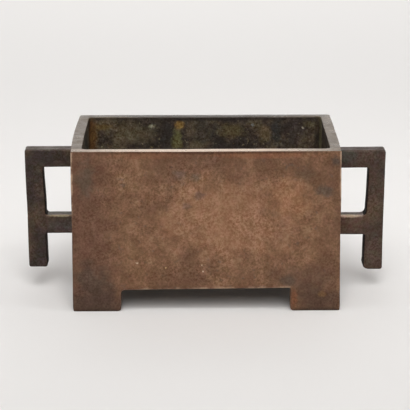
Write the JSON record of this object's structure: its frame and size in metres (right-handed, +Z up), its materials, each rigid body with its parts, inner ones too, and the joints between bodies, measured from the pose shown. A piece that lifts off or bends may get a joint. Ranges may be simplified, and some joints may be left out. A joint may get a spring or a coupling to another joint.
{
  "type": "oblong bronze ding incense burner",
  "caption": "Cast bronze oblong ding: thick-walled open trough with a flat floor, L-shaped bracket feet and openwork strap handles on its short ends.",
  "frame": {"origin": "on the ground under the middle of the vessel, centre of the base of the bounding box", "axes": "+X from the left handle to the right handle, +Y from the front to the back, +Z up"},
  "size_m": [0.1944, 0.0913, 0.0863],
  "materials": {
    "bronze": "old cast bronze with a mottled chestnut-brown patina, satin, worn brighter along the arrises"
  },
  "bodies": {
    "root": {"censer": "bronze"}
  },
  "joints": []
}
